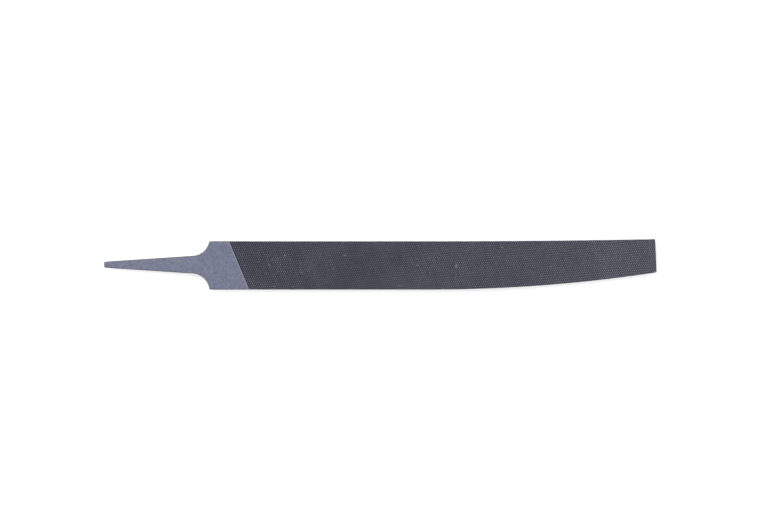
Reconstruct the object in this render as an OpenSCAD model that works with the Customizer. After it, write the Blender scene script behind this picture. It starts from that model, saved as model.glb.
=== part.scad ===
// Flat file, 6 inch, without its handle: one forged bar of hardened steel with a tapered tang.
// It lies on one cut face. +X runs along the blade to its point and the tang runs to -X.
// +Y is the long, nearly straight edge, and the bellied edge is at -Y. +Z is up, through the thickness.
// The origin is under the middle of the whole file, on the surface that it lies on.

/* [Blade] */
// Length of the blade, from the shoulders to the far corner of its point
blade_len = 152.4; // [120:0.1:200]
// Width of the blade, from its heel to where the edges begin to curve
blade_w = 16.5; // [14:0.1:20]
// Thickness of the blade over the teeth
blade_t = 4; // [3:0.1:6]
// Distance from the shoulders to where the edges begin to curve
parallel_len = 75.2; // [50:0.1:100]
// Distance from the shoulders to where the faces begin to thin
flat_len = 101; // [60:0.5:112]
// How far the bellied edge has come in at the point
belly_rise = 5.85; // [1:0.05:6.5]
// How far the straighter edge has gone out at the point
edge_flare = 0.73; // [0.1:0.01:1.5]
// Thickness over the teeth at the point
point_t = 2.8; // [2:0.1:2.9]
// Slant of the end face, in degrees from square
end_slant = 2.5; // [0:0.5:8]
// Width of the bevel round the two long arrises of the end face
end_bevel = 0.35; // [0.1:0.05:0.5]

/* [Heel] */
// Uncut length of the heel on the straighter edge
heel_short = 6.65; // [4:0.05:9]
// Uncut length of the heel on the bellied edge
heel_long = 13.5; // [10:0.1:20]
// Height of the tooth tips over the ground face of the heel
tooth_rise = 0.08; // [0.04:0.01:0.15]

/* [Tang] */
// Length of the tang, from the shoulders to its tip
tang_len = 36; // [25:0.1:45]
// Width of the tang at its tip
tang_tip_w = 2.1; // [1.5:0.1:3]
// Thickness of the tang at its tip
tang_tip_t = 2; // [1.5:0.1:2.6]
// Radius of the corners of the tang's tip, seen from above
tang_tip_r = 0.45; // [0.2:0.05:0.7]
// Taper of each side of the tang, in degrees
tang_taper = 3.7; // [1:0.05:6]
// How far the tang is off the middle of the heel, towards the straighter edge
tang_offset = 0.25; // [-0.5:0.05:0.5]
// Radius of the hollow between the tang and each shoulder
shoulder_r = 6; // [4:0.1:7]

/* [Hidden] */

steel = [0.49, 0.51, 0.58];
arc_steps = 24;        // flats along one curved edge
corner_steps = 8;      // flats along one rounded corner of the tang's tip
round_fn = 96;         // fineness of the shoulder hollows
web_share = 0.93;      // how much of a hollow's radius the web behind the shoulders takes up
reach = 1;             // how far a cutting solid runs past the file

curve_len = blade_len - parallel_len;
top_y = blade_w / 2 + edge_flare;
low_y = -blade_w / 2;
centre = [(blade_len - tang_len) / 2, (top_y + low_y) / 2];
end_top_x = blade_len - (top_y - low_y - belly_rise) * tan(end_slant);
blank_t = blade_t - 2 * tooth_rise;

// Half the width of the tang where the hollows begin, as far from the shoulders as their own radius
root_half = tang_tip_w / 2 + (tang_len - shoulder_r) * tan(tang_taper);

// Height above its chord of an arc that leaves a straight line at 0 and has risen by rise at len
function arc_at(d, len, rise) =
    let (r = (len * len + rise * rise) / (2 * rise)) r - sqrt(r * r - d * d);

function steps(n) = [for (i = [0 : n]) i / n];

// Corner of the tang's tip: a quarter of a circle from its side to its end face
function tip_corner(side) = [
    for (s = steps(corner_steps))
        [-tang_len + tang_tip_r * (1 - sin(90 * s)),
         side * (tang_tip_w / 2 - tang_tip_r * (1 - cos(90 * s)))]
];

function reversed(list) = [for (i = [len(list) - 1 : -1 : 0]) list[i]];

// The blade from above: straight edge and its flare, then the point, then the bellied edge
module blade_outline() {
    flare = [for (s = steps(arc_steps))
        [parallel_len + s * (end_top_x - parallel_len),
         blade_w / 2 + arc_at(s * curve_len, curve_len, edge_flare)]];
    belly = [for (s = steps(arc_steps))
        [parallel_len + s * curve_len, low_y + arc_at(s * curve_len, curve_len, belly_rise)]];
    polygon(concat([[0, low_y], [0, blade_w / 2]], flare, reversed(belly)));
}

// The tang from above, run on into the blade, with the two hollows that leave its shoulders
module tang_outline() {
    side_end = root_half + (shoulder_r + reach) * tan(tang_taper);
    difference() {
        union() {
            translate([0, tang_offset])
                polygon(concat(
                    tip_corner(1), reversed(tip_corner(-1)), [[reach, -side_end], [reach, side_end]]
                ));
            translate([-web_share * shoulder_r, low_y])
                square([web_share * shoulder_r + reach, blade_w]);
        }
        for (side = [-1, 1])
            translate([-shoulder_r, tang_offset + side * (root_half + shoulder_r)]) {
                circle(r = shoulder_r, $fn = round_fn);
                translate([-shoulder_r, (side - 1) * blade_w / 2])
                    square([2 * shoulder_r, blade_w]);
            }
    }
}

// The side view of the blade over a thickness t: parallel for two thirds, then thinning to the point
module blade_side(t) {
    slope = (blade_t - point_t) / 2 / (blade_len - flat_len);
    end_x = blade_len + reach;
    end_t = t - 2 * slope * (end_x - flat_len);
    polygon([
        [-reach, -t / 2], [-reach, t / 2], [flat_len, t / 2], [end_x, end_t / 2],
        [end_x, -end_t / 2], [flat_len, -t / 2]
    ]);
}

// The side view of the tang: as thick as the heel between the hollows, then thinner to its tip
module tang_side() {
    polygon([
        [-tang_len - reach, -tang_tip_t / 2], [-tang_len - reach, tang_tip_t / 2],
        [-tang_len, tang_tip_t / 2], [-shoulder_r, blank_t / 2], [reach, blank_t / 2],
        [reach, -blank_t / 2], [-shoulder_r, -blank_t / 2], [-tang_len, -tang_tip_t / 2]
    ]);
}

// A side view stood up along the file and drawn out across its whole width
module across() {
    translate([0, top_y + reach, 0])
        rotate([90, 0, 0])
            linear_extrude(top_y - low_y + 2 * reach)
                children();
}

// An outline drawn up through the thickness
module through() {
    translate([0, 0, -blade_t])
        linear_extrude(2 * blade_t)
            children();
}

// All of a face that has teeth, seen from its own side: past the slanted line across the heel
module cut_field() {
    polygon([
        [heel_short, top_y + reach], [heel_short, blade_w / 2],
        [heel_long, low_y], [heel_long, low_y - reach],
        [blade_len + reach, low_y - reach], [blade_len + reach, top_y + reach]
    ]);
}

module blank() {
    intersection() {
        through() blade_outline();
        across() blade_side(blank_t);
    }
}

// The steel under one toothed face, from the middle of the thickness up to the tips of the teeth
module toothed_half() {
    intersection() {
        linear_extrude(blade_t) cut_field();
        across() blade_side(blade_t);
    }
}

// Both faces are cut alike, so turning the file over gives the same slant across its heel
module toothed_blade() {
    intersection() {
        through() blade_outline();
        union() {
            toothed_half();
            rotate([180, 0, 0]) toothed_half();
        }
    }
}

module tang() {
    intersection() {
        through() tang_outline();
        across() tang_side();
    }
}

// The bevels along the end face, one on each face of the blade
module end_bevels() {
    for (side = [-1, 1])
        translate([blade_len, low_y + belly_rise, side * point_t / 2])
            rotate([0, 0, end_slant])
                rotate([0, 45, 0])
                    cube([end_bevel, 2 * (top_y - low_y), end_bevel] * sqrt(2), center = true);
}

module flat_file() {
    color(steel)
        translate([-centre[0], -centre[1], blade_t / 2])
            difference() {
                union() {
                    blank();
                    toothed_blade();
                    tang();
                }
                end_bevels();
            }
}

flat_file();
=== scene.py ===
"""A flat file without its handle, lying on a pale floor, seen from straight above.

The whole file is one piece of steel, so it is one closed mesh. Two slabs of real teeth, one for each
face, are cut to the outline of the blade and joined to the smooth heel and tang. Lengths are in metres.
The shapes are worked out in blade coordinates: x from the shoulders towards the point, y from the middle
of the heel and z from half the thickness.
"""

import math
import random

import bmesh
import bpy
from mathutils import Matrix, Vector


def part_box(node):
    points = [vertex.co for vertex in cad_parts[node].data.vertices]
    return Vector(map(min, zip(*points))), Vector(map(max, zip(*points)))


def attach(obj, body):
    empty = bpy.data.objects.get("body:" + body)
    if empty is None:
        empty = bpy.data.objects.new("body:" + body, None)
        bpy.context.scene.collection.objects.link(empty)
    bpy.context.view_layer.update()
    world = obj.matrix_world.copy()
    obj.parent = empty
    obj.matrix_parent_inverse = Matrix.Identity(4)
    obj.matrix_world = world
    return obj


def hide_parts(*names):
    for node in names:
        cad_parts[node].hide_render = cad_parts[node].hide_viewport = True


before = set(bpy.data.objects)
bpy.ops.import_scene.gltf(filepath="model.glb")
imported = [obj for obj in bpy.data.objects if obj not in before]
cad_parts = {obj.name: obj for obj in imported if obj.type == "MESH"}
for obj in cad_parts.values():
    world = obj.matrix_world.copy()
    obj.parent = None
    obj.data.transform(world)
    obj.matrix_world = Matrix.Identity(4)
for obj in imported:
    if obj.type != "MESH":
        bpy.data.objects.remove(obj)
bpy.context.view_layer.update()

MM = 0.001

# The blade and tang, as the design has them
TANG_LEN = 36.0 * MM
TANG_TIP_W = 2.1 * MM
TANG_TIP_T = 2.0 * MM
TANG_TIP_R = 0.45 * MM
TANG_TAPER = math.radians(3.7)
TANG_OFFSET = 0.25 * MM
SHOULDER_R = 6.0 * MM
BLADE_W = 16.5 * MM
PARALLEL_LEN = 75.2 * MM
FLAT_LEN = 101.0 * MM
BELLY_RISE = 5.85 * MM
EDGE_FLARE = 0.73 * MM
POINT_T = 2.8 * MM
END_SLANT = math.radians(2.5)
END_BEVEL = 0.35 * MM
HEEL_SHORT = 6.65 * MM
HEEL_LONG = 13.5 * MM
TOOTH_RISE = 0.08 * MM

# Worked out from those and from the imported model's box
box_low, box_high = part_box("flat_file")
BLADE_T = box_high.z - box_low.z
BLADE_LEN = box_high.x - box_low.x - TANG_LEN
CURVE_LEN = BLADE_LEN - PARALLEL_LEN
THINNING = (BLADE_T - POINT_T) / 2 / (BLADE_LEN - FLAT_LEN)
BLANK_T = BLADE_T - 2 * TOOTH_RISE
HALF_W = BLADE_W / 2
ORIGIN = Vector((box_low.x + TANG_LEN, box_low.y + HALF_W, (box_low.z + box_high.z) / 2))

# The two cuts of each face. The upcut runs along the end of the heel, and the shallower overcut crosses it.
# A crest is where the ridge between two grooves stands, as a share of the way from one to the next.
UPCUT_PITCH = 0.628 * MM
UPCUT_DEPTH = 0.25 * MM
UPCUT_CREST = 0.78
OVERCUT_PITCH = 0.58 * MM
OVERCUT_DEPTH = 0.19 * MM
OVERCUT_CREST = 0.66
OVERCUT_ANGLE = math.radians(52)

# How uneven they are: lines as a share of the pitch, grooves as a share of their depth, and tips
LINE_JITTER = 0.035
DEPTH_JITTER = 0.06
TIP_JITTER = 0.012 * MM

# The first groove, past the end of the heel, and the burr before it, with the width of the painted
# highlight along the burr. The reach is a share of the pitch.
FIRST_GROOVE = 0.2 * MM
BURR_REACH = 0.35
BURR_NOTCH = 0.01 * MM
BURR_ROOT = 0.02 * MM
BURR_HIGHLIGHT_WIDTH = 0.55 * MM

# Directions across the two cuts, and how far along the upcut's one the first groove is
HEEL_LINE = Vector((HEEL_LONG - HEEL_SHORT, -BLADE_W)).normalized()
UPCUT_NORMAL = Vector((-HEEL_LINE.y, HEEL_LINE.x))
OVERCUT_NORMAL = Vector((math.sin(OVERCUT_ANGLE), -math.cos(OVERCUT_ANGLE)))
CROSSING = UPCUT_NORMAL.x * OVERCUT_NORMAL.y - UPCUT_NORMAL.y * OVERCUT_NORMAL.x
CUT_START = UPCUT_NORMAL.dot(Vector((HEEL_SHORT, HALF_W))) + FIRST_GROOVE

# The single cut of the narrow edges, from past the heel to short of the point
EDGE_PITCH = 0.6 * MM
EDGE_DEPTH = 0.1 * MM
EDGE_CREST = 0.75
EDGE_START = 14.2 * MM
EDGE_STOP = 2.6 * MM
EDGE_SLANT = math.tan(math.radians(12))

# Arrises: bevels on the blade and roundings on the heel and tang. The corner is the shoulders' own.
ARRIS_BEVEL = 0.13 * MM
ARRIS_R = 0.3 * MM
CORNER_R = 0.4 * MM

# How far shapes run past one another, or stop short, where they are joined or cut
LAP = 0.4 * MM
MARGIN = 0.9 * MM
HAIR = 0.004 * MM
HOLLOW_GAP = 1.0 * MM
HEEL_LAP = 2.0 * MM

# How finely the heel and tang are divided, and the angle from which an edge is shaded as a sharp one
TIP_STEPS = 6
TANG_STEPS = 32
HOLLOW_STEPS = 23
CORNER_STEPS = 7
HEEL_STEPS = 16
ARRIS_STEPS = 5
FACE_STRIPS = 6
SHARP_ANGLE = math.radians(28)


def arc_rise(distance, length, rise):
    """How far an arc has left a straight line at this distance, when it leaves it by rise at length."""
    radius = (length * length + rise * rise) / (2 * rise)
    distance = max(distance, 0.0)
    return radius - math.sqrt(radius * radius - distance * distance)


def edge_y(x, side):
    """The blade's outline: the nearly straight edge is side 1 and the bellied edge is side -1."""
    if side > 0:
        return HALF_W + arc_rise(x - PARALLEL_LEN, CURVE_LEN, EDGE_FLARE)
    return -HALF_W + arc_rise(x - PARALLEL_LEN, CURVE_LEN, BELLY_RISE)


def half_thickness(x):
    """Half the blade's thickness over the tips of its teeth."""
    return BLADE_T / 2 - max(x - FLAT_LEN, 0.0) * THINNING


def end_x(y):
    """Where the slanted end face is."""
    return BLADE_LEN - (y - edge_y(BLADE_LEN, -1)) * math.tan(END_SLANT)


# ---- Materials -------------------------------------------------------------------------------------


class Shader:
    """A material's node tree, with short ways to add a node and to do sums with sockets and numbers."""

    def __init__(self, name):
        self.material = bpy.data.materials.new(name)
        self.material.use_nodes = True
        self.nodes = self.material.node_tree.nodes
        self.links = self.material.node_tree.links
        self.surface = self.nodes["Principled BSDF"]

    def put(self, socket, value):
        """Link a socket to this one, or set this one to a number, colour or vector."""
        if isinstance(value, bpy.types.NodeSocket):
            self.links.new(value, socket)
        else:
            socket.default_value = value

    def add(self, kind, output=0, **inputs):
        """A new node's output. Its inputs are given by name, with _ for a space."""
        node = self.nodes.new(kind)
        for name, value in inputs.items():
            self.put(node.inputs[name.replace("_", " ")], value)
        return node.outputs[output]

    def math(self, operation, *values):
        node = self.nodes.new("ShaderNodeMath")
        node.operation = operation
        for socket, value in zip(node.inputs, values):
            self.put(socket, value)
        return node.outputs[0]

    def ramp(self, value, low, high, to_low=0.0, to_high=1.0):
        """A value that goes from one level to another while the given one goes from low to high."""
        return self.add(
            "ShaderNodeMapRange", Value=value, From_Min=low, From_Max=high, To_Min=to_low, To_Max=to_high
        )

    def mix(self, share, first, second):
        """Two colours mixed, with this share of the second."""
        node = self.nodes.new("ShaderNodeMix")
        node.data_type = "RGBA"
        self.put(node.inputs["Factor"], share)
        for socket, value in zip([i for i in node.inputs if i.type == "RGBA"], (first, second)):
            self.put(socket, value)
        return [o for o in node.outputs if o.type == "RGBA"][0]

    def noise(self, scale, detail, roughness, stretch=(1, 1, 1)):
        """Noise with features about this long, and longer along a stretched axis."""
        place = self.add("ShaderNodeTexCoord", "Object")
        per_metre = tuple(1 / (scale * s) for s in stretch)
        scaled = self.add("ShaderNodeMapping", Vector=place, Scale=per_metre)
        return self.add(
            "ShaderNodeTexNoise", "Fac", Vector=scaled, Scale=1.0, Detail=detail, Roughness=roughness
        )

    def metal(self, colour, roughness, height, depth):
        """The finished material: bare metal with a slight bump."""
        self.put(self.surface.inputs["Base Color"], colour)
        self.put(self.surface.inputs["Metallic"], 1.0)
        self.put(self.surface.inputs["Roughness"], roughness)
        bump = self.add("ShaderNodeBump", Height=height, Distance=depth, Strength=BUMP_STRENGTH)
        self.put(self.surface.inputs["Normal"], bump)
        return self.material


# How much of the blue's extra strength the green has
GREEN_SHARE = 0.15


def steel(value, blue):
    """Linear colour of steel: its red, and how much stronger its blue is."""
    return (value, value * (1 + GREEN_SHARE * blue), value * (1 + blue), 1)


# The ground steel: its broad patches, then what lies over them, with a painted highlight on the burr and
# painted shade on upright faces and arrises
GROUND_DARK = steel(0.129, 0.52)
GROUND_LIGHT = steel(0.15, 0.44)
MOTTLE_TONE = steel(0.22, 0.46)
GRAIN_TONE = steel(0.22, 0.4)
DRAWN_TONE = steel(0.08, 0.5)
# Painted highlight along the burr
BURR_HIGHLIGHT_TONE = steel(0.28, 0.35)
# Painted shade on upright faces and on the rounded arrises
SIDE_SHADE_TONE = steel(0.07, 0.35)
ARRIS_SHADE_TONE = steel(0.035, 0.3)

# The cut steel: painted shade in the grooves, a painted highlight on the tips, then what lies over them.
# Worn tones are those at the point.
GROOVE_SHADE_DARK = steel(0.033, 0.4)
GROOVE_SHADE_LIGHT = steel(0.045, 0.34)
GROOVE_SHADE_WORN = steel(0.075, 0.36)
TIP_HIGHLIGHT_DARK = steel(0.4, 0.3)
TIP_HIGHLIGHT_LIGHT = steel(0.55, 0.2)
TIP_HIGHLIGHT_WORN = steel(0.8, 0.15)
# Scattered lighter specks
LIGHT_SPECK_TONE = steel(0.4, 0.25)
CUT_GRAIN_TONE = steel(0.2, 0.3)
# Painted shade of the first groove
FIRST_SHADE_TONE = steel(0.015, 0.3)

# How far below the tips the painted highlight ends and starts, how far past the first groove its painted
# shade goes from its full strength to nothing, and how strong all the bumps are
TIP_HIGHLIGHT_END = 0.07 * MM
TIP_HIGHLIGHT_START = 0.015 * MM
FIRST_SHADE_FULL = 0.5 * UPCUT_PITCH
FIRST_SHADE_END = 1.1 * UPCUT_PITCH
BUMP_STRENGTH = 0.5


def past_first(sh):
    """How far a point is past the first groove, on whichever face it is nearer to."""
    place = sh.add("ShaderNodeTexCoord", "Object")
    x = sh.math("SUBTRACT", sh.add("ShaderNodeSeparateXYZ", 0, Vector=place), ORIGIN.x)
    y = sh.math("SUBTRACT", sh.add("ShaderNodeSeparateXYZ", 1, Vector=place), ORIGIN.y)
    z = sh.math("SUBTRACT", sh.add("ShaderNodeSeparateXYZ", 2, Vector=place), ORIGIN.z)
    y = sh.math("MULTIPLY", y, sh.math("SIGN", z))
    along = sh.math("ADD", sh.math("MULTIPLY", x, UPCUT_NORMAL.x), sh.math("MULTIPLY", y, UPCUT_NORMAL.y))
    return sh.math("SUBTRACT", along, CUT_START)


def levelness(sh):
    """1 on level faces, whichever way up, and 0 on upright ones."""
    normal = sh.add("ShaderNodeNewGeometry", "Normal")
    return sh.math("ABSOLUTE", sh.add("ShaderNodeSeparateXYZ", 2, Vector=normal))


def smooth_steel(name):
    """The heel's ground faces and the forged tang: grey-blue, matt, finely grained, with painted shade on
    upright faces and arrises and a painted highlight along the burr.
    """
    sh = Shader(name)
    level = levelness(sh)
    grain = sh.noise(0.13 * MM, detail=2, roughness=0.6)
    mottle = sh.noise(0.9 * MM, detail=4, roughness=0.75)
    drawn = sh.noise(0.2 * MM, detail=3, roughness=0.6, stretch=(18, 1, 1))
    cloud = sh.noise(6 * MM, detail=3, roughness=0.55)
    # A painted highlight along the burr before the first groove, on level faces
    near_burr = sh.ramp(past_first(sh), -BURR_HIGHLIGHT_WIDTH, -0.4 * BURR_HIGHLIGHT_WIDTH)
    burr = sh.math("MULTIPLY", near_burr, sh.ramp(level, 0.6, 0.9))
    # Painted shade on the rounded arrises, between level and upright
    arris = sh.math("MULTIPLY", sh.ramp(level, 0.98, 0.8, to_high=0.9), sh.ramp(level, 0.1, 0.5))
    colour = sh.mix(sh.ramp(cloud, 0.3, 0.7), GROUND_DARK, GROUND_LIGHT)
    colour = sh.mix(sh.ramp(mottle, 0.36, 0.64, to_high=0.55), colour, MOTTLE_TONE)
    colour = sh.mix(sh.ramp(grain, 0.35, 0.7, to_high=0.35), colour, GRAIN_TONE)
    colour = sh.mix(sh.ramp(drawn, 0.5, 0.8, to_high=0.35), colour, DRAWN_TONE)
    colour = sh.mix(sh.math("MULTIPLY", burr, 0.45), colour, BURR_HIGHLIGHT_TONE)
    # Painted shade on upright faces
    colour = sh.mix(sh.ramp(level, 0.5, 0.1, to_high=0.6), colour, SIDE_SHADE_TONE)
    colour = sh.mix(arris, colour, ARRIS_SHADE_TONE)
    roughness = sh.ramp(mottle, 0.38, 0.62, to_low=0.66, to_high=0.5)
    height = sh.math("ADD", sh.math("MULTIPLY", grain, 0.5), sh.math("MULTIPLY", drawn, 0.5))
    return sh.metal(colour, roughness, height, 0.02 * MM)


def cut_steel(name):
    """The teeth: painted shade in the grooves and a painted highlight on the tips, which are more worn
    towards the point.
    """
    sh = Shader(name)
    place = sh.add("ShaderNodeTexCoord", "Object")
    along = sh.add("ShaderNodeSeparateXYZ", 0, Vector=place)
    up = sh.add("ShaderNodeSeparateXYZ", 2, Vector=place)
    past_flat = sh.math("MAXIMUM", sh.math("SUBTRACT", along, ORIGIN.x + FLAT_LEN), 0.0)
    surface = sh.math("SUBTRACT", BLADE_T / 2, sh.math("MULTIPLY", past_flat, THINNING))
    below = sh.math("SUBTRACT", surface, sh.math("ABSOLUTE", sh.math("SUBTRACT", up, ORIGIN.z)))
    patch = sh.noise(9 * MM, detail=3, roughness=0.55)
    grain = sh.noise(0.11 * MM, detail=2, roughness=0.6)
    # tip masks the painted highlight on the tips; below them is the painted shade of the grooves
    tip = sh.ramp(below, TIP_HIGHLIGHT_END, TIP_HIGHLIGHT_START)
    worn = sh.ramp(along, ORIGIN.x + FLAT_LEN - CURVE_LEN / 2, ORIGIN.x + BLADE_LEN)
    groove_shade_tone = sh.mix(sh.ramp(patch, 0.3, 0.7), GROOVE_SHADE_DARK, GROOVE_SHADE_LIGHT)
    groove_shade_tone = sh.mix(sh.math("MULTIPLY", worn, 0.4), groove_shade_tone, GROOVE_SHADE_WORN)
    tip_highlight_tone = sh.mix(sh.ramp(patch, 0.35, 0.7), TIP_HIGHLIGHT_DARK, TIP_HIGHLIGHT_LIGHT)
    tip_highlight_tone = sh.mix(sh.math("MULTIPLY", worn, 0.7), tip_highlight_tone, TIP_HIGHLIGHT_WORN)
    colour = sh.mix(tip, groove_shade_tone, tip_highlight_tone)
    # Scattered lighter specks on the teeth
    spots = sh.noise(1.1 * MM, detail=1, roughness=0.5, stretch=(2, 1, 1))
    colour = sh.mix(sh.ramp(spots, 0.755, 0.785, to_high=0.35), colour, LIGHT_SPECK_TONE)
    colour = sh.mix(sh.ramp(grain, 0.3, 0.75, to_high=0.15), colour, CUT_GRAIN_TONE)
    # Painted shade in and just past the first groove, on all but upright faces
    near_first = sh.ramp(past_first(sh), FIRST_SHADE_END, FIRST_SHADE_FULL, to_high=0.2)
    first = sh.math("MULTIPLY", near_first, sh.ramp(levelness(sh), 0.1, 0.3))
    colour = sh.mix(first, colour, FIRST_SHADE_TONE)
    return sh.metal(colour, sh.ramp(tip, 0, 1, to_low=0.55, to_high=0.38), grain, 0.01 * MM)


# The two materials of the one piece, in the order of its mesh's slots
SMOOTH, CUT = 0, 1
MATERIALS = [smooth_steel("ground_steel"), cut_steel("cut_steel")]

# ---- Solids ----------------------------------------------------------------------------------------


def new_solid(name, vertices, faces, materials):
    """A closed mesh from its vertices, its faces and each face's material. Every face is turned outwards,
    and vertices that no face uses are left out."""
    mesh = bpy.data.meshes.new(name)
    for each in MATERIALS:
        mesh.materials.append(each)
    mesh.from_pydata([tuple(v) for v in vertices], [], faces)
    mesh.polygons.foreach_set("material_index", materials)
    work = bmesh.new()
    work.from_mesh(mesh)
    for v in [v for v in work.verts if not v.link_faces]:
        work.verts.remove(v)
    bmesh.ops.recalc_face_normals(work, faces=work.faces)
    work.to_mesh(mesh)
    work.free()
    made = bpy.data.objects.new(name, mesh)
    bpy.context.scene.collection.objects.link(made)
    return made


def combine(first, second, operation):
    """The first object joined to, cut by or limited to the second, which is used up."""
    step = first.modifiers.new("step", "BOOLEAN")
    step.operation = operation
    step.solver = "MANIFOLD"
    step.object = second
    evaluated = first.evaluated_get(bpy.context.evaluated_depsgraph_get())
    mesh = bpy.data.meshes.new_from_object(evaluated)
    first.modifiers.clear()
    old = first.data
    first.data = mesh
    bpy.data.meshes.remove(old)
    bpy.data.meshes.remove(second.data)
    return first


# ---- Teeth -----------------------------------------------------------------------------------------


def crossing(up, over):
    """Where a line of the upcut meets one of the overcut, each given by how far along its normal it is."""
    return Vector((
        (up * OVERCUT_NORMAL.y - over * UPCUT_NORMAL.y) / CROSSING,
        (over * UPCUT_NORMAL.x - up * OVERCUT_NORMAL.x) / CROSSING,
    ))


def blend(a, b, share):
    """A value this share of the way from one to another."""
    return a + (b - a) * share


class Cut:
    """One series of chisel cuts: where each groove and ridge runs and how deep it is, slightly uneven."""

    def __init__(self, seed, start, pitch, depth, crest, indices):
        chance = random.Random(seed)
        steps = range(indices.start, indices.stop + 1)
        self.groove = {n: start + pitch * (n + LINE_JITTER * chance.uniform(-1, 1)) for n in steps}
        self.ridge = {n: blend(self.groove[n], self.groove[n + 1], crest) for n in indices}
        self.floor = {n: depth * (1 + DEPTH_JITTER * chance.uniform(-1, 1)) for n in steps}


def tooth_slab(name, side):
    """A closed slab whose outer surface is one toothed face. Side is 1 for the upper face. It is -1 for the
    lower face, which is the same turned over about the blade's length."""
    reach = BLADE_LEN + BLADE_W
    # Row -1 of the upcut is the burr before its first groove
    up_range = range(-1, round(reach / UPCUT_PITCH))
    over_range = range(round(-BLADE_W / OVERCUT_PITCH), round(reach / OVERCUT_PITCH))
    upcut = Cut(f"up{side}", CUT_START, UPCUT_PITCH, UPCUT_DEPTH, UPCUT_CREST, up_range)
    overcut = Cut(f"over{side}", 0.0, OVERCUT_PITCH, OVERCUT_DEPTH, OVERCUT_CREST, over_range)
    vertices, numbers, top_faces, base_faces, materials = [], {}, [], [], []

    def vertex(kind, i, j):
        """The number of a lattice vertex: two grooves' crossing, the start or end of a notch, or a tip."""
        key = (kind, i, j)
        if key in numbers:
            return numbers[key]
        burr = i < 0
        floor = TOOTH_RISE + BURR_ROOT if burr else upcut.floor[i]
        notch = BURR_NOTCH if burr else overcut.floor[j]
        over = overcut.groove[j]
        if kind == "groove":
            up, depth = upcut.groove[i], floor
        elif kind == "rise":
            up, depth = blend(upcut.groove[i], upcut.ridge[i], 1 - notch / floor), notch
        elif kind == "fall":
            next_floor = upcut.floor[i + 1]
            up, depth = blend(upcut.ridge[i], upcut.groove[i + 1], notch / next_floor), notch
        else:
            up, over = upcut.ridge[i], overcut.ridge[j]
            depth = TIP_JITTER * random.Random(f"tip{side}/{i}/{j}").random()
        spot = crossing(up, over)
        numbers[key] = len(vertices)
        vertices.append(Vector((spot.x, spot.y, half_thickness(spot.x) - depth)))
        return numbers[key]

    def inside(i, j):
        """Whether a tooth is on the blade or only just outside it."""
        spot = crossing(upcut.ridge[i], overcut.ridge[j])
        y = spot.y * side
        across = edge_y(spot.x, -1) - MARGIN < y < edge_y(spot.x, 1) + MARGIN
        return across and spot.x < BLADE_LEN + MARGIN

    for i in up_range:
        for j in over_range:
            if not inside(i, j):
                continue
            groove, groove_v = vertex("groove", i, j), vertex("groove", i, j + 1)
            groove_u, groove_uv = vertex("groove", i + 1, j), vertex("groove", i + 1, j + 1)
            rise, rise_v = vertex("rise", i, j), vertex("rise", i, j + 1)
            fall, fall_v = vertex("fall", i, j), vertex("fall", i, j + 1)
            tip = vertex("tip", i, j)
            top_faces += [
                (groove, groove_v, rise_v, tip, rise),
                (fall, tip, fall_v, groove_uv, groove_u),
                (rise, tip, fall),
                (rise_v, fall_v, tip),
            ]
            base_faces.append((groove, rise, fall, groove_u, groove_uv, fall_v, rise_v, groove_v))
            materials += [SMOOTH if i < 0 else CUT, CUT, CUT, CUT]

    count = len(vertices)
    edges = {(f[k], f[(k + 1) % len(f)]) for f in top_faces for k in range(len(f))}
    skirt = [(b, a, a + count, b + count) for a, b in edges if (b, a) not in edges]
    base = [Vector((v.x, v.y, -LAP)) for v in vertices]
    turned = [Vector((v.x, v.y * side, v.z * side)) for v in vertices + base]
    faces = top_faces + [tuple(v + count for v in f) for f in base_faces] + sorted(skirt)
    materials += [CUT] * (len(faces) - len(materials))
    return new_solid(name, turned, faces, materials)


def outline_prism(name):
    """The blade's outline stood up through its thickness, with the single cut along both narrow edges, the
    small bevels along its arrises and the slanted end face. Its edges are smooth where they belong to the
    heel."""
    stations = [HEEL_SHORT / 2, EDGE_START - EDGE_PITCH]
    depths = [0.0, 0.0]
    x = EDGE_START
    while x < BLADE_LEN - EDGE_STOP:
        stations += [x, x + EDGE_PITCH * EDGE_CREST]
        depths += [EDGE_DEPTH, 0.0]
        x += EDGE_PITCH
    # Each ring: the face it is near, how far below it, how far inside the edges and how far inside the end
    rings = [
        (-1, -LAP, ARRIS_BEVEL + LAP, END_BEVEL + LAP),
        (-1, ARRIS_BEVEL, 0.0, END_BEVEL - ARRIS_BEVEL),
        (-1, END_BEVEL, 0.0, 0.0),
        (1, END_BEVEL, 0.0, 0.0),
        (1, ARRIS_BEVEL, 0.0, END_BEVEL - ARRIS_BEVEL),
        (1, -LAP, ARRIS_BEVEL + LAP, END_BEVEL + LAP),
    ]
    vertices = []
    for up, below, inset, end_inset in rings:
        for side in (1, -1):
            row = []
            for x, depth in zip(stations, depths):
                z = up * (half_thickness(x) - below)
                lean = x + side * z * EDGE_SLANT if depth or x > EDGE_START else x
                row.append(Vector((lean, edge_y(lean, side) - side * (inset + depth + HAIR), z)))
            y = edge_y(BLADE_LEN, side) - side * (inset + HAIR)
            x = end_x(y) - end_inset
            row.append(Vector((x, y, up * (half_thickness(x) - below))))
            vertices += row if side > 0 else row[::-1]
    loop = 2 * (len(stations) + 1)
    faces, materials = [], []
    for k in range(len(rings) - 1):
        for n in range(loop):
            m = (n + 1) % loop
            faces.append((k * loop + n, k * loop + m, (k + 1) * loop + m, (k + 1) * loop + n))
            materials.append(SMOOTH if n in (0, loop - 2, loop - 1) else CUT)
    half = loop // 2
    last = (len(rings) - 1) * loop
    for n in range(half - 1):
        across = loop - 1 - n
        faces.append((n, across, across - 1, n + 1))
        faces.append((last + n, last + n + 1, last + across - 1, last + across))
        materials += [CUT, CUT]
    return new_solid(name, vertices, faces, materials)


# ---- Heel and tang ---------------------------------------------------------------------------------


def turn(angle):
    """The direction at this angle, seen from above."""
    return Vector((math.cos(angle), math.sin(angle)))


def shares(steps):
    """How far along a stretch the end of each of its equal steps is."""
    return [k / steps for k in range(1, steps + 1)]


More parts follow.
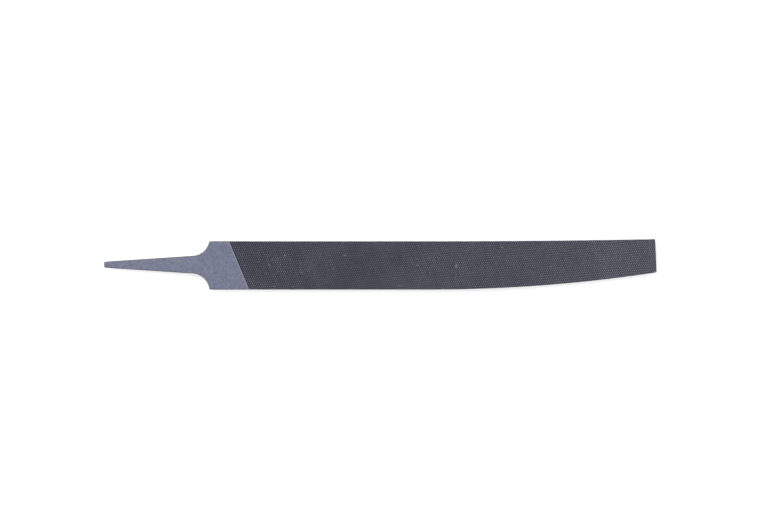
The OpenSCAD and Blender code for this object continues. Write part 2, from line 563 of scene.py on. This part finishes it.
def smooth_outline(side):
    """One side of the heel and tang from above, from the middle of the tang's tip to past the heel, as
    points with their outward normals. The other side, -1, is given as if it were at +y too."""
    offset = TANG_OFFSET * side
    root_y = TANG_TIP_W / 2 + (TANG_LEN - SHOULDER_R) * math.tan(TANG_TAPER) + offset
    hollow = Vector((-SHOULDER_R, root_y + SHOULDER_R))
    tip_corner = Vector((TANG_TIP_R - TANG_LEN, TANG_TIP_W / 2 - TANG_TIP_R + offset))
    tip_normal = turn(math.pi)
    edge_normal = turn(math.pi / 2)
    points = [(Vector((-TANG_LEN, 0)), tip_normal), (Vector((-TANG_LEN, tip_corner.y)), tip_normal)]
    side_angle = math.pi / 2 + TANG_TAPER
    for share in shares(TIP_STEPS):
        n = turn(blend(math.pi, side_angle, share))
        points.append((tip_corner + n * TANG_TIP_R, n))
    start, n = points[-1]
    finish = Vector((-SHOULDER_R - HOLLOW_GAP, root_y - HOLLOW_GAP * math.tan(TANG_TAPER)))
    for share in shares(TANG_STEPS):
        points.append((start.lerp(finish, share), n))
    # The shoulder's corner is a small arc that touches the hollow's circle and the edge
    corner_y = HALF_W - CORNER_R
    reach = math.sqrt((SHOULDER_R + CORNER_R) ** 2 - (corner_y - hollow.y) ** 2)
    corner = Vector((hollow.x + reach, corner_y))
    away = (hollow - corner).normalized()
    last = math.atan2(away.y, away.x)
    for share in [0.0] + shares(HOLLOW_STEPS):
        n = turn(blend(side_angle, last, share))
        points.append((hollow - n * SHOULDER_R, n))
    for share in shares(CORNER_STEPS):
        n = turn(blend(last, math.pi / 2, share))
        points.append((corner + n * CORNER_R, n))
    for share in shares(HEEL_STEPS):
        points.append((Vector((blend(corner.x, HEEL_LONG + HEEL_LAP, share), HALF_W)), edge_normal))
    return points


def smooth_half_thickness(x):
    """Half the thickness of the heel and tang. The tang thins from the shoulder hollows to its tip."""
    share = min(max(-(x + SHOULDER_R) / (TANG_LEN - SHOULDER_R), 0.0), 1.0)
    return blend(BLANK_T, TANG_TIP_T, share) / 2


def heel_and_tang(name):
    """The smooth end of the file, as rings round its outline. Each arris is rounded, and the faces are
    filled with strips from one side to the other, so that they can follow the tang's taper."""
    outline = smooth_outline(1)
    other = smooth_outline(-1)
    rounding = [share * math.pi / 2 for share in [0.0] + shares(ARRIS_STEPS)]
    loop_points = [(p, n, 1) for p, n in outline] + [(p, n, -1) for p, n in other[:0:-1]]
    vertices, rings = [], []
    for up in (1, -1):
        for angle in rounding if up > 0 else rounding[::-1]:
            ring = []
            for p, n, side in loop_points:
                spot = p - n * ARRIS_R * (1 - math.sin(angle))
                z = smooth_half_thickness(spot.x) - ARRIS_R * (1 - math.cos(angle))
                ring.append(len(vertices))
                vertices.append(Vector((spot.x, spot.y * side, z * up)))
            rings.append(ring)
    faces = []
    size = len(loop_points)
    for a, b in zip(rings, rings[1:]):
        for n in range(size):
            m = (n + 1) % size
            faces.append((a[n], a[m], b[m], b[n]))
    half = len(outline)
    for ring, up in ((rings[0], 1), (rings[-1], -1)):
        lines = [[ring[0]]]
        for n in range(1, half - 1):
            left, right = vertices[ring[n]], vertices[ring[size - n]]
            line = [ring[n]]
            for c in range(1, FACE_STRIPS):
                line.append(len(vertices))
                vertices.append(left.lerp(right, c / FACE_STRIPS))
            line.append(ring[size - n])
            lines.append(line)
        for before, after in zip(lines, lines[1:]):
            for c in range(FACE_STRIPS):
                if len(before) == 1:
                    face = (before[0], after[c], after[c + 1])
                else:
                    face = (before[c], after[c], after[c + 1], before[c + 1])
                faces.append(face[::-1] if up > 0 else face)
        face = (*lines[-1], ring[half], ring[half - 1])
        faces.append(face[::-1] if up > 0 else face)
    return new_solid(name, vertices, faces, [SMOOTH] * len(faces))


def heel_cutter(name, side):
    """Everything past the end of the ground steel, on one face."""
    start = UPCUT_NORMAL * (CUT_START - BURR_REACH * UPCUT_PITCH)
    along = HEEL_LINE * 2 * BLADE_W
    far = UPCUT_NORMAL * BLADE_W * 2
    corners = [start + along, start + along + far, start - along + far, start - along]
    low = [Vector((c.x, c.y * side, 0)) for c in corners]
    high = [v + Vector((0, 0, side * BLADE_T)) for v in low]
    faces = [(3, 2, 1, 0), (4, 5, 6, 7), (0, 1, 5, 4), (1, 2, 6, 5), (2, 3, 7, 6), (3, 0, 4, 7)]
    return new_solid(name, low + high, faces, [SMOOTH] * len(faces))


def build_file():
    """The one piece: the smooth end, cut off where the teeth start, and a toothed slab for each face."""
    file_body = heel_and_tang("flat_file_steel")
    for side in (1, -1):
        combine(file_body, heel_cutter(f"cutter{side}", side), "DIFFERENCE")
    for side in (1, -1):
        slab = combine(tooth_slab(f"teeth{side}", side), outline_prism(f"prism{side}"), "INTERSECT")
        combine(file_body, slab, "UNION")
    file_body.data.transform(Matrix.Translation(ORIGIN))
    for polygon in file_body.data.polygons:
        polygon.use_smooth = True
    file_body.data.set_sharp_from_angle(angle=SHARP_ANGLE)
    return file_body


file_steel = build_file()
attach(file_steel, "root")
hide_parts("flat_file")

# ---- Stage -----------------------------------------------------------------------------------------

WHITE = (1, 1, 1, 1)

# The floor: its size, its patches' tones and how strongly the light table under it shines through
FLOOR_SIZE = 6.0
FLOOR_STEPS = 8
FLOOR_DARK = (0.93, 0.93, 0.93, 1)
FLOOR_LIGHT = (0.95, 0.95, 0.95, 1)
FLOOR_ROUGHNESS = 0.9
FLOOR_GLOW = 0.25

# The room's brightness at the horizon and overhead, and how high the direction is where the ceiling starts
WORLD_HORIZON = 1.0
WORLD_ZENITH = 1.15
CEILING_START = 0.7

# The softbox: where it is, how wide it is and its watts
KEY_PLACE = (-1.1, 0.7, 1.0)
KEY_SIZE = 0.9
KEY_POWER = 11

# The camera, in the lens's own millimetres, and the width and middle of what it sees
LENS = 100.0
SENSOR = 36.0
VIEW_WIDTH = 258.7 * MM
VIEW_X = -0.1 * MM
VIEW_Y = -0.56 * MM
CLIP_START = 0.01
CLIP_END = 20


def floor_paper(name):
    """White paper on a light table, whose glow thins the file's shadow."""
    sh = Shader(name)
    patch = sh.ramp(sh.noise(60 * MM, detail=3, roughness=0.5), 0.3, 0.7)
    sh.put(sh.surface.inputs["Base Color"], sh.mix(patch, FLOOR_DARK, FLOOR_LIGHT))
    sh.put(sh.surface.inputs["Roughness"], FLOOR_ROUGHNESS)
    sh.put(sh.surface.inputs["Emission Color"], WHITE)
    sh.put(sh.surface.inputs["Emission Strength"], FLOOR_GLOW)
    return sh.material


def lay_floor():
    """A level square under the file, which lies on it."""
    bpy.ops.mesh.primitive_grid_add(
        x_subdivisions=FLOOR_STEPS, y_subdivisions=FLOOR_STEPS, size=FLOOR_SIZE, location=(0, 0, box_low.z)
    )
    floor = bpy.context.active_object
    floor.name = "floor"
    floor.data.materials.append(floor_paper("floor_paper"))


def light_world():
    """A white room whose ceiling is a little brighter than its walls."""
    world = bpy.data.worlds.new("studio")
    world.use_nodes = True
    bpy.context.scene.world = world
    nodes, links = world.node_tree.nodes, world.node_tree.links
    direction = nodes.new("ShaderNodeTexCoord").outputs["Generated"]
    split = nodes.new("ShaderNodeSeparateXYZ")
    links.new(direction, split.inputs[0])
    rise = nodes.new("ShaderNodeMapRange")
    links.new(split.outputs["Z"], rise.inputs["Value"])
    rise.inputs["From Min"].default_value = 0.0
    rise.inputs["From Max"].default_value = CEILING_START
    rise.inputs["To Min"].default_value = WORLD_HORIZON
    rise.inputs["To Max"].default_value = WORLD_ZENITH
    background = nodes["Background"]
    background.inputs["Color"].default_value = WHITE
    links.new(rise.outputs[0], background.inputs["Strength"])


def add_softbox(name, place, size, power):
    """A square soft light at this place, turned to the middle of the file."""
    light = bpy.data.lights.new(name, "AREA")
    light.size = size
    light.energy = power
    lamp = bpy.data.objects.new(name, light)
    lamp.location = place
    lamp.rotation_euler = Vector(place).to_track_quat("Z", "Y").to_euler()
    bpy.context.scene.collection.objects.link(lamp)


def aim_camera():
    """Straight down at the file, far enough off for the frame to be VIEW_WIDTH wide at its upper face."""
    data = bpy.data.cameras.new("camera")
    data.lens = LENS
    data.sensor_width = SENSOR
    data.clip_start = CLIP_START
    data.clip_end = CLIP_END
    camera = bpy.data.objects.new("camera", data)
    camera.location = (VIEW_X, VIEW_Y, box_high.z + VIEW_WIDTH * LENS / SENSOR)
    bpy.context.scene.collection.objects.link(camera)
    bpy.context.scene.camera = camera


lay_floor()
light_world()
add_softbox("key", KEY_PLACE, KEY_SIZE, KEY_POWER)
aim_camera()
bpy.context.scene.view_settings.view_transform = "Standard"
